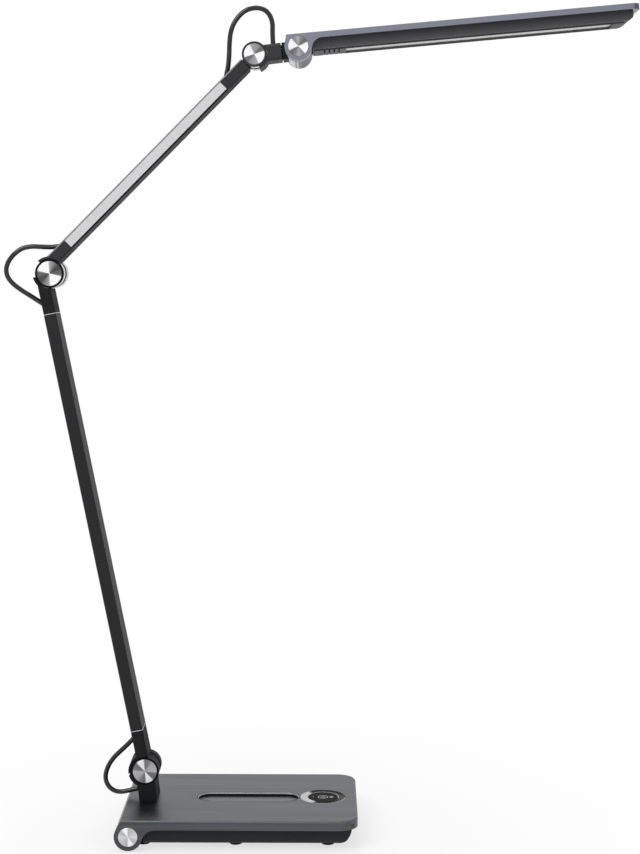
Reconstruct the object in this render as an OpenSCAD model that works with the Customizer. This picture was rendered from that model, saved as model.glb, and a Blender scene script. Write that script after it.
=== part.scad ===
// Folding desk lamp: weighted base, two square arms, swivel link and a flat light head.
// Millimetres. X runs from the post towards the head, Y away from the viewer, Z up.
// The origin is on the floor, under the middle of the base plate.

/* [Base] */
// Length of the cover plate, left to right
base_length = 220; // [180:1:280]
// Depth of the cover plate, front to back
base_width = 150; // [120:1:200]
// Height of the cover's top face above the floor
base_top = 29.5; // [28:0.5:40]
// Height of the cover plate's edge
cover_edge = 9; // [8:0.5:11]
// Thickness of the cover's top wall
cover_wall = 3; // [2.6:0.1:4]
// Width of the solid rim under the cover plate
cover_rim = 9; // [8:0.5:14]
// Corner radius of the plate, seen from above
cover_corner = 18; // [4:1:30]
// Bevel round the plate's top edge
cover_bevel = 1.2; // [0.4:0.1:2]
// Radius of the rolled left edge
base_roll_radius = 13.1; // [11:0.1:13.5]
// Height of the rolled edge's centre above the floor
base_roll_height = 14; // [13.8:0.1:16]
// How far the rolled edge's centre lies inside the plate's left edge
base_roll_inset = 6.7; // [4:0.1:9]
// Radius of the hollow between the rolled edge and the plate
base_roll_fillet = 13; // [8:0.5:14]
// Depth of each of the two rolled lobes at the plate's left edge
base_lobe_depth = 15; // [10:0.5:22]
// Radius of the turned discs in the rolled edge
base_disc_radius = 9; // [6:0.1:10]
// Distance from the plate's edge to the tray's side
tray_inset = 5.5; // [4:0.5:7]
// Height of the tray's underside above the floor
tray_bottom = 5; // [4:0.5:6]
// Wall thickness of the tray
tray_wall = 2.5; // [2:0.1:3]
// Radius of the tray's rounded lower side edges
tray_edge = 8; // [4:0.5:9]
// Radius of the tray's rounded right end
tray_end_radius = 15.5; // [8:0.5:15.5]
// Gap between the lobes and the part of the tray that lies between them
lobe_gap = 1; // [0.5:0.1:3]

/* [Base fittings] */
// Radius of a rubber foot
foot_radius = 6.7; // [4:0.05:6.75]
// Depth that a foot is let into the tray
foot_recess = 1; // [0.5:0.1:1.5]
// Distance from the plate's long sides to the feet
foot_side_inset = 26; // [17:0.5:30]
// Distance from the plate's left end to the left feet
foot_left_inset = 18.8; // [17:0.1:30]
// Distance from the plate's right end to the right feet
foot_right_inset = 27.9; // [27.8:0.1:40]
// Distance from the plate's left end to the left screws
screw_left_inset = 52; // [45:1:60]
// Distance from the plate's right end to the right screws
screw_right_inset = 48; // [45:1:60]
// Distance from the plate's left end to the pen slot
slot_inset = 67.4; // [55:0.1:100]
// Distance between the pen slot and the touch control
slot_gap = 1.9; // [1.9:0.1:10]
// Width of the pen slot
slot_width = 24; // [14:0.5:32]
// Bevel round the slot
slot_bevel = 1.2; // [0.4:0.1:1.8]
// Outer radius of the touch control's ring
touch_radius = 21.8; // [18:0.1:23]
// Radius of the touch control's glass
touch_glass_radius = 14.4; // [10:0.1:15]
// Distance from the plate's right end to the middle of the touch control
touch_inset = 32.6; // [31.5:0.1:40]
// Distance from the plate's ends to the ballast plate
ballast_inset = 45; // [45:1:60]
// Gap between the ballast plate and the screw bosses
ballast_gap = 2.8; // [1:0.1:10]
// Thickness of the ballast plate
ballast_thickness = 8; // [4:0.5:9]

/* [Post and joints] */
// Distance from the plate's left end to the post's foot
post_inset = 19.8; // [18:0.1:26]
// Width of the post
post_width = 17.2; // [14:0.1:19]
// Lean of the post to the left, in degrees
post_lean = 6.2; // [0:0.1:9]
// Height of the base joint above the cover
post_height = 29.1; // [26:0.1:40]
// Depth of arms, post, link and joints, front to back
arm_depth = 30; // [26:0.5:36]
// Radius of the base joint and the elbow
hinge_radius = 13.5; // [13:0.1:15]
// Radius of the wrist joint
wrist_radius = 11.6; // [11:0.1:12.5]
// Width of the bezel ring round a joint's disc
bezel_width = 2; // [1:0.1:2.5]
// Thickness of the bezel rings
bezel_thickness = 1.5; // [1:0.1:2.5]
// Height that the turned discs stand out of their bezels
disc_proud = 0.4; // [0:0.1:0.8]
// Thickness of the tongue in each joint
tongue_thickness = 9; // [6:0.5:12]
// Thickness of the friction washers
washer_thickness = 0.8; // [0.4:0.1:1.2]
// Radius of the joint bolts
bolt_radius = 2.5; // [2:0.1:3]
// Gap between a barrel and the cap that turns round it
barrel_gap = 0.4; // [0.3:0.05:0.6]
// Thickness of the stop fins
fin_thickness = 2; // [1.4:0.1:2.4]
// Angle from a cap's own line to the end of its stop fin
fin_angle = 87; // [70:1:88]
// Angle from the post's line to the end of its stop fin
post_fin_angle = 80; // [60:1:82]

/* [Arms] */
// Distance between base joint and elbow
lower_length = 482.6; // [300:0.1:600]
// Direction of the lower arm, in degrees from the horizontal
lower_angle = 100.3; // [92:0.1:110]
// Distance between elbow and wrist
upper_length = 278.4; // [200:0.1:400]
// Direction of the upper arm, in degrees from the horizontal
upper_angle = 46.6; // [35:0.1:60]
// Width of the arm tubes
arm_width = 11.5; // [10:0.1:13]
// Bevel along the arm's edges
arm_bevel = 1.2; // [0.4:0.1:1.8]
// Wall of the arm tubes
arm_wall = 1.2; // [0.8:0.1:1.6]
// Distance of the elbow's pivot from the lower arm's middle line
lower_offset = 7.6; // [6.5:0.1:9]
// Distance of the elbow's pivot from the upper arm's middle line
upper_offset = 7; // [6.5:0.1:9]
// Length of the lower arm's foot cap, from the pivot
foot_cap_length = 40; // [30:0.5:60]
// Length of the lower arm's elbow cap, from the pivot
elbow_cap_length = 37; // [30:0.5:60]
// Length of the upper arm's elbow cap, from the pivot
upper_cap_length = 32; // [30:0.5:60]
// Length of the wrist cap, from the pivot
wrist_cap_length = 40.5; // [40:0.5:60]
// Length of the spigots inside the tubes
spigot_length = 14; // [8:0.5:20]
// Width of the bright panels on the upper arm
panel_width = 8.4; // [5:0.1:9]
// Thickness of the bright panels
panel_thickness = 0.5; // [0.3:0.1:0.6]

/* [Link and swivel] */
// Distance between wrist and head joint
link_length = 41.1; // [40:0.1:48]
// Direction of the link, in degrees from the horizontal
link_angle = 7; // [0:0.1:15]
// Height of the link and the neck
link_height = 15.3; // [13.5:0.1:17]
// Bevel along the link's edges
link_bevel = 2.4; // [0.5:0.1:3]
// Distance from the wrist to the link's end
link_end = 25.1; // [25.1:0.1:27]
// Width of the seam between link and neck
swivel_gap = 0.8; // [0.6:0.1:1.6]
// Radius of the swivel shaft
shaft_radius = 4.6; // [3.5:0.1:5]
// Running clearance of shafts and bolts
running_fit = 0.06; // [0.03:0.01:0.1]
// Radius of the neck's barrel, inside its bright sleeve
neck_radius = 10.4; // [9:0.1:10.8]

/* [Head] */
// Length of the head beyond its joint
head_reach = 314; // [240:1:400]
// Width of the head plate
head_width = 66; // [64:1:80]
// Direction of the head, in degrees from the horizontal
head_angle = 5.3; // [-5:0.1:12]
// Thickness of the head plate
plate_thickness = 5.2; // [4:0.1:6]
// Height of the plate's top above the joint
plate_height = 11.3; // [10:0.1:12.4]
// How far the plate's left edge lies beyond the joint
plate_back = 10.2; // [8:0.1:12]
// Radius of the rolled edge of the head
head_roll_radius = 12.6; // [11.4:0.1:13]
// Radius of the hollow between the rolled edge and the plate
head_roll_fillet = 10; // [6:0.5:10]
// Radius of the turned discs of the head
head_disc_radius = 9.2; // [6:0.1:10]
// Corner radius of the plate's free end, seen from above
plate_corner = 10; // [3:0.5:20]
// Distance from the plate's sides to the housing
housing_side_inset = 3.5; // [2:0.1:5]
// Distance from the plate's end to the housing's end
housing_end_inset = 5.2; // [3:0.1:20]
// Height of the housing under the plate
housing_height = 8.7; // [8:0.1:12]
// How much each side of the housing slants in
housing_slant = 4.5; // [1:0.1:6]
// Corner radius of the housing's free end, seen from above
housing_corner = 9; // [3:0.5:20]
// Radius of the housing's free end, seen from the side
housing_end_radius = 6.5; // [4:0.1:8]
// How far the light's frame stands out of the housing
frame_height = 1.4; // [0.6:0.1:2]
// Width of the rim of the light's frame
frame_rim = 0.9; // [0.6:0.1:1.5]
// Depth from the frame's face to the diffuser
light_recess = 2.3; // [1.8:0.1:3]
// Width of the lit opening
light_width = 32; // [20:0.5:33]
// Distance from the joint to the lit opening
light_start = 43.4; // [43:0.1:60]
// Distance from the lit opening to the housing's end
light_end_inset = 17.3; // [17.2:0.1:40]
// Thickness of the diffuser
diffuser_thickness = 1.5; // [1:0.1:2]
// Thickness of the light guide
guide_thickness = 3; // [2:0.1:3.4]
// Thickness of the reflector sheet
reflector_thickness = 0.5; // [0.3:0.1:0.6]
// Width of a vent slot
vent_width = 1.2; // [0.8:0.1:2]
// Distance between vent slots
vent_pitch = 4.5; // [3:0.1:4.5]

/* [Cables] */
// Diameter of the cable loops
cable_diameter = 4.6; // [3:0.1:4.7]

/* [Hidden] */
$fn = 64;
through = 400;
small = 0.01;
seat_gap = 0.1;
half_depth = arm_depth / 2;

function dir(a) = [cos(a), sin(a)];
function along(p, a, s) = p + s * dir(a);

post_x = post_inset - base_length / 2;
base_joint = [post_x - post_height * tan(post_lean), base_top + post_height];
elbow = along(base_joint, lower_angle, lower_length);
wrist = along(elbow, upper_angle, upper_length);
head_joint = along(wrist, link_angle, link_length);

lower_slant = asin(lower_offset / lower_length);
upper_slant = asin(upper_offset / upper_length);
lower_tube_angle = lower_angle + lower_slant;
upper_tube_angle = upper_angle - upper_slant;
lower_run = lower_length * cos(lower_slant);
upper_run = upper_length * cos(upper_slant);

plate_under = base_top - cover_edge;
cover_inner = base_top - cover_wall;
cavity_half = base_width / 2 - cover_rim;
cavity_right = base_length / 2 - cover_rim;
roll_x = base_roll_inset - base_length / 2;
hollow_z = plate_under - base_roll_fillet;
hollow_x = roll_x + sqrt(pow(base_roll_radius + base_roll_fillet, 2)
  - pow(hollow_z - base_roll_height, 2));
cavity_left = hollow_x + 2;
tray_half = base_width / 2 - tray_inset;
base_roll_gap = base_width / 2 - base_lobe_depth;
snout_half = base_roll_gap - lobe_gap;
tray_right = base_length / 2 - tray_inset;
tray_floor = tray_bottom + tray_wall;
tray_snout_left = tray_inset - base_length / 2;
snout_cavity_left = tray_snout_left + tray_wall;
tray_nose = 1.3;
tray_left = hollow_x - base_roll_fillet + tray_nose;

touch_x = base_length / 2 - touch_inset;
slot_left = slot_inset - base_length / 2;
slot_right = touch_x - touch_radius - slot_gap;
slot_length = slot_right - slot_left;
slot_x = (slot_left + slot_right) / 2;
boss_radius = 5;
screw_inset = 4.2;
screw_left = screw_left_inset - base_length / 2;
screw_right = base_length / 2 - screw_right_inset;
foot_left = foot_left_inset - base_length / 2;
foot_right = base_length / 2 - foot_right_inset;
foot_row = base_width / 2 - foot_side_inset;
ballast_length = base_length - 2 * ballast_inset;
ballast_width = 2 * (cavity_half - screw_inset - boss_radius - ballast_gap);

cheek_outer = half_depth - bezel_thickness;
washer_face = tongue_thickness / 2 + washer_thickness;
cheek_inner = washer_face + seat_gap;
bolt_head_height = 3;
bolt_head_radius = 4.6;
bolt_seat = cheek_outer - bolt_head_height;
hinge_disc_radius = hinge_radius - bezel_width;
wrist_disc_radius = wrist_radius - bezel_width;
tongue_radius = hinge_radius - 0.7;
wrist_tongue_radius = wrist_radius - 0.7;
tongue_room = 0.4;
hinge_cut = hinge_radius + barrel_gap;
wrist_cut = wrist_radius + barrel_gap;
fin_outer = hinge_cut + fin_thickness;
fin_start = 30;
foot_fin_start = 10;
post_fin_start = 20;
link_fin_start = 20;
link_fin_end = 75;
downwards = 270;
tenon_height = 6;
tenon_length = 7;

notch_half = half_depth + 0.6;
notch_right = head_roll_radius + barrel_gap;
plate_bottom = plate_height - plate_thickness;
housing_half = head_width / 2 - housing_side_inset;
housing_start = notch_right;
housing_bottom = plate_bottom - housing_height;
housing_end = head_reach - housing_end_inset;
frame_bottom = housing_bottom - frame_height;
frame_half = light_width / 2 + frame_rim;
frame_start = housing_start + 1;
frame_end = housing_end - housing_end_radius - 2;
light_length = housing_end - light_end_inset - light_start;
light_ledge = frame_bottom + light_recess;
optic_half = light_width / 2 + 3;
optic_start = light_start - 3;
optic_length = light_length + 6;
board_thickness = 1;

cable_radius = cable_diameter / 2;
cable_hole = cable_radius + 0.25;
cable_bore_length = 9;
// routes of the cables' middle lines, from the pivot that each one crosses
base_route = [[-9.8, 30.6], [-14.1, 26.2], [-19.6, 20.6], [-25.1, 15.4], [-30, 10.6], [-34.1, 5.4],
  [-37.4, -0.6], [-39.4, -7.6], [-39, -14.1], [-35.9, -20], [-30.4, -23.8], [-24.1, -24.6],
  [-17.6, -23.4], [-11.6, -22], [-3.6, -20.4]];
elbow_route = [[-5.9, -30.3], [-10.1, -27.6], [-19.3, -21.7], [-28.9, -15.6], [-36.7, -9.6],
  [-41.5, -3.4], [-42.9, 3.6], [-40.9, 10.6], [-35.7, 17.6], [-27.9, 23.2], [-18.9, 25.2],
  [-9.3, 25], [-0.8, 24.8], [5.7, 25.4], [10.1, 26]];
wrist_route = [[-27.5, -21.3], [-26.2, -15.7], [-24.8, -8.2], [-24, 1.8], [-23.6, 11.8], [-22.4, 21.8],
  [-19, 30.8], [-13.2, 38.1], [-6.6, 42.5], [1.4, 44.1], [8.8, 42.3], [13.8, 37.3],
  [16.2, 30.3], [16.4, 23.3], [16.6, 16.3], [17.2, 8.2]];

base_loop = [for (p = base_route) base_joint + p];
elbow_loop = [for (p = elbow_route) elbow + p];
wrist_loop = [for (p = wrist_route) wrist + p];

// ---- shared helpers ----

// puts children made along +X at a pivot, turned to a direction
module at(p, a) {
  translate([p[0], 0, p[1]]) rotate([0, -a, 0]) children();
}

module base_joint_frame() { at(base_joint, lower_tube_angle) children(); }
module post_frame() { at(base_joint, downwards + post_lean) children(); }
module elbow_in_lower() { at(base_joint, lower_tube_angle) translate([lower_run, 0, -lower_offset]) children(); }
module upper_frame() { at(elbow, upper_tube_angle) children(); }
module wrist_in_upper() { upper_frame() translate([upper_run, 0, upper_offset]) children(); }
module link_frame() { at(wrist, link_angle) children(); }
module head_frame() { at(head_joint, head_angle) children(); }

// flat outline in X and Z, given a thickness from y0 to y1
module slab(y0, y1) {
  translate([0, y1, 0]) rotate([90, 0, 0]) linear_extrude(y1 - y0) children();
}

// flat outline in Y and Z, drawn out along X from x0 to x1
module bar(x0, x1) {
  translate([x0, 0, 0]) rotate([90, 0, 90]) linear_extrude(x1 - x0) children();
}

// round bar across the joint, from y0 to y1
module pin(radius, y0, y1) {
  slab(y0, y1) circle(radius);
}

// children and their mirror image at the far side
module both_sides() {
  children();
  mirror([0, 1, 0]) children();
}

module bevelled(width, height, bevel) {
  w = width / 2;
  h = height / 2;
  polygon([[-w, -h + bevel], [-w + bevel, -h], [w - bevel, -h], [w, -h + bevel],
    [w, h - bevel], [w - bevel, h], [-w + bevel, h], [-w, h - bevel]]);
}

module box_outline(x0, x1, z0, z1) {
  polygon([[x0, z0], [x1, z0], [x1, z1], [x0, z1]]);
}

module ring(outer, inner) {
  difference() {
    circle(outer);
    circle(inner);
  }
}

// part of a ring between two directions less than half a turn apart
module arc_band(outer, inner, a0, a1) {
  mid = (a0 + a1) / 2;
  reach = 2 * outer;
  intersection() {
    ring(outer, inner);
    polygon([[0, 0], reach * dir(a0), reach * dir(mid), reach * dir(a1)]);
  }
}

// outline of a plate whose edge is rolled into a bead: flank, bead, hollow and plate
module rolled_outline(corner, top, under, roll, fillet, end) {
  reach = norm([corner, top]);
  touch = atan2(top, corner) + acos(roll / reach);
  hollow_z = under - fillet;
  hollow_x = sqrt(pow(roll + fillet, 2) - pow(hollow_z, 2));
  tangent = (roll - 2 * small) * dir(touch);
  overshoot = [corner, top] + ([corner, top] - tangent) / 4;
  intersection() {
    union() {
      circle(roll);
      polygon([[0, overshoot[1]], overshoot, tangent, [0, 0]]);
      box_outline(0, end, under, overshoot[1]);
      difference() {
        polygon([[0, 0], [hollow_x, hollow_z], [hollow_x, under + small], [0, under + small]]);
        translate([hollow_x, hollow_z]) circle(fillet);
      }
    }
    box_outline(-2 * roll, end, -2 * roll, top);
  }
}

module stadium(length, width) {
  r = width / 2;
  run = length / 2 - r;
  translate([-run, 0]) circle(r);
  translate([run, 0]) circle(r);
  translate([-run, -r]) square([2 * run, width]);
}

// cutter that widens upwards round a stadium
module stadium_bevel(length, width, bevel) {
  r = width / 2;
  run = length / 2 - r;
  for (x = [-run, run]) translate([x, 0, 0]) cylinder(h = bevel, r1 = r, r2 = r + bevel);
  translate([-run, 0, 0]) rotate([90, 0, 90]) linear_extrude(2 * run)
    polygon([[-r, 0], [r, 0], [r + bevel, bevel], [-r - bevel, bevel]]);
}

module turned_disc(radius, y0, thickness) {
  dish = 0.25;
  translate([0, y0, 0]) rotate([90, 0, 0]) rotate_extrude()
    polygon([[0, 0], [radius, 0], [radius, thickness - dish], [radius - dish, thickness],
      [radius / 2, thickness - dish / 2], [0, thickness - dish]]);
}

module joint_bolt(head_face) {
  nut_height = bolt_head_height;
  pin(bolt_radius, -head_face, head_face);
  pin(bolt_head_radius, head_face, head_face + bolt_head_height - seat_gap);
  slab(-head_face - nut_height + seat_gap, -head_face) circle(bolt_head_radius, $fn = 6);
}

module joint_washers(hole) {
  both_sides() slab(-washer_face, -tongue_thickness / 2) ring(bolt_head_radius + 1.6, hole);
}

// tube swept along points in the X-Z plane
function bend_dir(p, i) =
  i == 0 ? p[1] - p[0] : i == len(p) - 1 ? p[i] - p[i - 1] :
  (p[i + 1] - p[i]) / norm(p[i + 1] - p[i]) + (p[i] - p[i - 1]) / norm(p[i] - p[i - 1]);
function unit(v) = v / norm(v);
function cable_ring(p, i, r, n) = let (t = unit(bend_dir(p, i)))
  [for (k = [0:n - 1]) let (c = r * cos(360 * k / n), s = r * sin(360 * k / n))
    [p[i][0] - t[1] * c, s, p[i][1] + t[0] * c]];

module cable(p) {
  n = 8;
  count = len(p);
  points = [for (i = [0:count - 1]) each cable_ring(p, i, cable_radius, n)];
  sides = [for (i = [0:count - 2]) for (k = [0:n - 1])
    [i * n + k, i * n + (k + 1) % n, (i + 1) * n + (k + 1) % n, (i + 1) * n + k]];
  first = [for (k = [0:n - 1]) n - 1 - k];
  last = [for (k = [0:n - 1]) (count - 1) * n + k];
  polyhedron(points, concat([first, last], sides));
}

// hole that lets a cable's end into a wall; from the second point towards the end
module cable_bore(inner, outer) {
  d = unit(inner - outer);
  a = atan2(d[1], d[0]);
  at(inner, a) bar(-cable_bore_length, 0.3) circle(cable_hole);
}

// ---- base ----

module plan(left, right, half, corner) {
  translate([left, -half]) square([right - corner - left, 2 * half]);
  translate([right - corner - small, corner - half]) square([corner + small, 2 * (half - corner)]);
  for (y = [corner - half, half - corner]) translate([right - corner, y]) circle(corner);
}

// upright block on a plan, its top edge bevelled
module bevelled_plan(left, right, half, corner, height, bevel) {
  run = right - corner;
  linear_extrude(height - bevel) plan(left, right, half, corner);
  translate([left, 0, height - bevel - small]) rotate([90, 0, 90]) linear_extrude(run - left)
    bevelled_end(half, bevel);
  intersection() {
    translate([run, 0, height - bevel - small]) {
      translate([0, half - corner, 0]) rotate([90, 0, 0]) linear_extrude(2 * (half - corner))
        bevelled_end(corner, bevel);
      for (y = [corner - half, half - corner]) translate([0, y, 0])
        cylinder(h = bevel + small, r1 = corner + small, r2 = corner - bevel);
    }
    translate([run - small, -half, 0]) cube([corner + 2 * small, 2 * half, height]);
  }
}

module bevelled_end(half, bevel) {
  polygon([[-half - small, 0], [half + small, 0], [half - bevel, bevel + small],
    [bevel - half, bevel + small]]);
}

module base_roll_outline() {
  translate([roll_x, base_roll_height])
    rolled_outline(-base_roll_inset, base_top - base_roll_height, plate_under - base_roll_height,
      base_roll_radius, base_roll_fillet, base_length / 2 - roll_x);
}

module screw_spots() {
  for (x = [screw_left, screw_right]) for (y = [-1, 1]) translate([x, y * (cavity_half - screw_inset)]) children();
}

module post_screw_spots() {
  for (y = [-1, 1]) translate([post_x, y * arm_depth / 4]) children();
}

module board_spots() {
  for (x = [-1, 1]) for (y = [-1, 1])
    translate([touch_x + x * (board_width / 2 - 6), y * (board_depth / 2 - 5)]) children();
}

board_top = cover_inner - 4;
board_width = 44;
board_depth = 46;
post_screw_radius = 2;

module base_cover() {
  color("dimgray") difference() {
    union() {
      difference() {
        intersection() {
          slab(-base_width / 2, base_width / 2) base_roll_outline();
          bevelled_plan(-base_length, base_length / 2, base_width / 2, cover_corner, base_top,
            cover_bevel);
        }
        slab(-base_roll_gap, base_roll_gap)
          box_outline(-base_length, cavity_left, 0, plate_under);
        translate([cavity_left, -cavity_half, 0])
          cube([cavity_right - cavity_left, 2 * cavity_half, cover_inner]);
        translate([snout_cavity_left, tray_wall - snout_half, 0])
          cube([cavity_left - snout_cavity_left + small, 2 * (snout_half - tray_wall), cover_inner]);
      }
      screw_spots() translate([0, 0, plate_under]) cylinder(h = cover_edge - small, r = 4.5);
      board_spots() translate([0, 0, board_top]) cylinder(h = base_top - board_top - 1, r = 2.6);
    }
    screw_spots() cylinder(h = plate_under + 4.2, r = 1.6);
    post_screw_spots() cylinder(h = base_top + small, r = post_screw_radius + seat_gap);
    translate([slot_x, 0, 0]) linear_extrude(base_top + small) stadium(slot_length, slot_width);
    translate([slot_x, 0, base_top - slot_bevel])
      stadium_bevel(slot_length, slot_width, slot_bevel + small);
    translate([touch_x, 0, 0]) {
      translate([0, 0, touch_seat]) cylinder(h = base_top, r = touch_radius + seat_gap);
      cylinder(h = base_top, r = touch_radius - touch_ledge);
    }
    both_sides() translate([roll_x, disc_seat - base_width / 2, base_roll_height])
      pin(base_disc_radius + seat_gap, -disc_seat - small, 0);
  }
}

touch_ledge = 4;
touch_seat = base_top - 2;
disc_seat = 1.4;

module foot_spots() {
  for (x = [foot_left, (foot_left + foot_right) / 2, foot_right]) for (y = [-foot_row, foot_row])
    translate([x, y, 0]) children();
}

// end view of the tray, or of its inside where inset is the wall, with round lower corners
module tray_side_outline(inset) {
  w = tray_half - inset;
  e = tray_edge - inset;
  z = tray_bottom + inset;
  box_outline(e - w, w - e, z, plate_under + inset);
  box_outline(-w, w, z + e, plate_under + inset);
  for (y = [e - w, w - e]) translate([y, z + e]) circle(e);
}

// side view of the tray: left end under the rolled edge's hollow, right end rounded
module tray_outline() {
  right = tray_right - tray_end_radius;
  box_outline(hollow_x, right, tray_bottom, plate_under);
  intersection() {
    translate([hollow_x, hollow_z]) circle(base_roll_fillet - tray_room);
    box_outline(tray_left, hollow_x + small, tray_bottom, plate_under);
  }
  intersection() {
    translate([right, plate_under]) circle(tray_end_radius);
    box_outline(right - small, base_length, tray_bottom, plate_under);
  }
}

module base_tray() {
  color("black") difference() {
    intersection() {
      union() {
        slab(-tray_half, tray_half) tray_outline();
        slab(-snout_half, snout_half)
          box_outline(tray_snout_left, hollow_x + 1, tray_bottom, plate_under);
      }
      bar(-base_length, base_length) tray_side_outline(0);
      linear_extrude(through) plan(-base_length, base_length / 2, tray_half, cover_corner);
    }
    difference() {
      intersection() {
        slab(-cavity_half, cavity_half) box_outline(cavity_left + tray_wall,
          tray_right - tray_end_radius, tray_floor, plate_under + 1);
        bar(-base_length, base_length) tray_side_outline(tray_wall);
      }
      screw_spots() cylinder(h = plate_under + 2, r = boss_radius);
    }
    slab(tray_wall - snout_half, snout_half - tray_wall) box_outline(
      tray_snout_left + tray_wall, cavity_left + tray_wall + small, tray_floor, plate_under + 1);
    screw_spots() {
      cylinder(h = tray_bottom + 3.5, r = 3.2);
      cylinder(h = plate_under + 1, r = 1.7);
    }
    foot_spots() cylinder(h = tray_bottom + foot_recess, r = foot_radius + 0.05);
    translate([tray_snout_left, 0, inlet_z]) bar(-1, tray_wall + 1)
      square([inlet_width + 2 * seat_gap, inlet_height + 2 * seat_gap], center = true);
  }
}

tray_room = 0.4;
inlet_width = 10;
inlet_height = 9.4;
inlet_length = 13;
inlet_z = (tray_floor + cover_inner) / 2 - 2;

module ballast_plate() {
  color("gray") translate([-ballast_length / 2, -ballast_width / 2, tray_floor])
    cube([ballast_length, ballast_width, ballast_thickness]);
}

module rubber_feet() {
  top = tray_bottom + foot_recess;
  dome = 2;
  color("black") foot_spots() rotate_extrude() {
    square([foot_radius - dome, top]);
    translate([foot_radius - dome - small, dome]) square([dome + small, top - dome]);
    intersection() {
      translate([foot_radius - dome, dome]) circle(dome);
      square([foot_radius, dome + small]);
    }
  }
}

module base_end_discs() {
  color("silver") both_sides() translate([roll_x, disc_seat - base_width / 2, base_roll_height])
    turned_disc(base_disc_radius, 0, disc_seat + disc_proud / 2);
}

module touch_ring() {
  inner = touch_glass_radius + seat_gap;
  dip = 1;
  color("dimgray") translate([touch_x, 0, touch_seat]) rotate_extrude() difference() {
    union() {
      translate([touch_radius - touch_ledge - 3, 0]) square([touch_ledge + 3, base_top - touch_seat]);
      translate([inner, 0]) square([touch_radius - inner, base_top - touch_seat - small]);
      translate([inner - 2, 0]) square([3, touch_lip]);
    }
    translate([(inner + touch_radius) / 2 - 0.4, base_top - touch_seat + 7.6 - dip]) circle(7.6);
  }
}

touch_lip = 0.6;

module touch_glass() {
  color("black") translate([touch_x, 0, touch_seat + touch_lip])
    cylinder(h = base_top - touch_seat - touch_lip - 0.2, r = touch_glass_radius);
}

module slot_floor() {
  flange = 2;
  color("dimgray") translate([slot_x, 0, cover_inner - 1.2]) linear_extrude(1.2)
    stadium(slot_length + 2 * flange, slot_width + 2 * flange);
}

module control_board() {
  color("darkgreen") translate([touch_x, 0, board_top - 1.6]) linear_extrude(1.6)
    square([board_width, board_depth], center = true);
}

module dc_inlet() {
  color("black") translate([tray_snout_left, 0, inlet_z]) {
    difference() {
      bar(0, inlet_length) square([inlet_width, inlet_height], center = true);
      bar(-1, inlet_length - 2) circle(3.2);
    }
    bar(1, inlet_length - 1) circle(1.05);
  }
}

module base_screws() {
  head = tray_bottom + 1.5;
  color("silver") screw_spots() {
    translate([0, 0, head]) cylinder(h = 2, r = 2.9);
    translate([0, 0, head]) cylinder(h = plate_under + 4 - head, r = 1.5);
  }
}

// ---- post ----

module fin_outline(start) {
  arc_band(fin_outer, hinge_cut, start, fin_angle);
}

// outline of the post in its own frame, the pivot at the origin and the foot along +X
module post_outline() {
  foot = post_height / cos(post_lean) + post_width;
  circle(hinge_radius);
  box_outline(0, foot, -post_width / 2, post_width / 2);
}

module post() {
  color("black") difference() {
    intersection() {
      union() {
        post_frame() {
          slab(-half_depth + bezel_thickness, half_depth - bezel_thickness) circle(hinge_radius);
          slab(-half_depth, half_depth) difference() {
            box_outline(0, 2 * post_height, -post_width / 2, post_width / 2);
            circle(hinge_radius + small);
          }
          slab(-half_depth, half_depth) mirror([0, 1]) post_fin();
        }
      }
      translate([-base_length, -base_width, base_top]) cube([base_length, 2 * base_width, through]);
    }
    post_frame() {
      slab(-cheek_inner, cheek_inner) circle(tongue_radius + tongue_room);
      slab(-cheek_inner, cheek_inner) difference() {
        box_outline(-2 * hinge_radius, 0, -2 * hinge_radius, 2 * hinge_radius);
        circle(tongue_radius);
      }
      slab(-cheek_inner, cheek_inner)
        box_outline(-small, 2 * hinge_radius, post_width / 2, 2 * hinge_radius);
      pin(bolt_radius + running_fit, -half_depth, half_depth);
      both_sides() pin(bolt_head_radius + seat_gap, bolt_seat, half_depth);
    }
    post_screw_spots() cylinder(h = base_top + 9, r = post_screw_radius - 0.2);
    cable_bore(base_loop[len(base_loop) - 1], base_loop[len(base_loop) - 2]);
  }
}

module post_fin() {
  arc_band(fin_outer, hinge_radius, post_fin_start, post_fin_angle);
}

module post_screws() {
  color("silver") post_screw_spots() {
    translate([0, 0, cover_inner - 2.4]) cylinder(h = 2.4, r = 3.6);
    translate([0, 0, cover_inner - 1]) cylinder(h = base_top - cover_inner + 9, r = post_screw_radius - 0.2);
  }
}

// ---- base joint ----

module bezels(outer, inner) {
  both_sides() slab(cheek_outer, half_depth) ring(outer, inner + seat_gap);
}

module joint_discs(radius) {
  seat = cheek_outer;
  both_sides() mirror([0, 1, 0]) translate([0, seat, 0]) mirror([0, 1, 0])
    turned_disc(radius, 0, bezel_thickness + disc_proud);
}

module base_joint_bezels() {
  color("black") post_frame() bezels(hinge_radius, hinge_disc_radius);
}

module base_joint_discs() {
  color("silver") post_frame() joint_discs(hinge_disc_radius);
}

module base_joint_bolt() {
  color("gray") post_frame() joint_bolt(bolt_seat);
}

// ---- lower arm ----

module arm_bar(x0, x1, centre) {
  translate([0, 0, centre]) bar(x0, x1) bevelled(arm_depth, arm_width, arm_bevel);
}

module spigot(x0, x1, centre) {
  play = 2 * arm_wall + 2 * seat_gap;
  translate([0, 0, centre]) bar(x0, x1) difference() {
    bevelled(arm_depth - play, arm_width - play, 0.6);
    square([arm_depth - play - 5, arm_width - play - 4], center = true);
  }
}

module arm_tube(x0, x1, centre) {
  inner = 2 * arm_wall;
  translate([0, 0, centre]) bar(x0, x1) difference() {
    bevelled(arm_depth, arm_width, arm_bevel);
    bevelled(arm_depth - inner, arm_width - inner, 0.5);
  }
}

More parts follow.
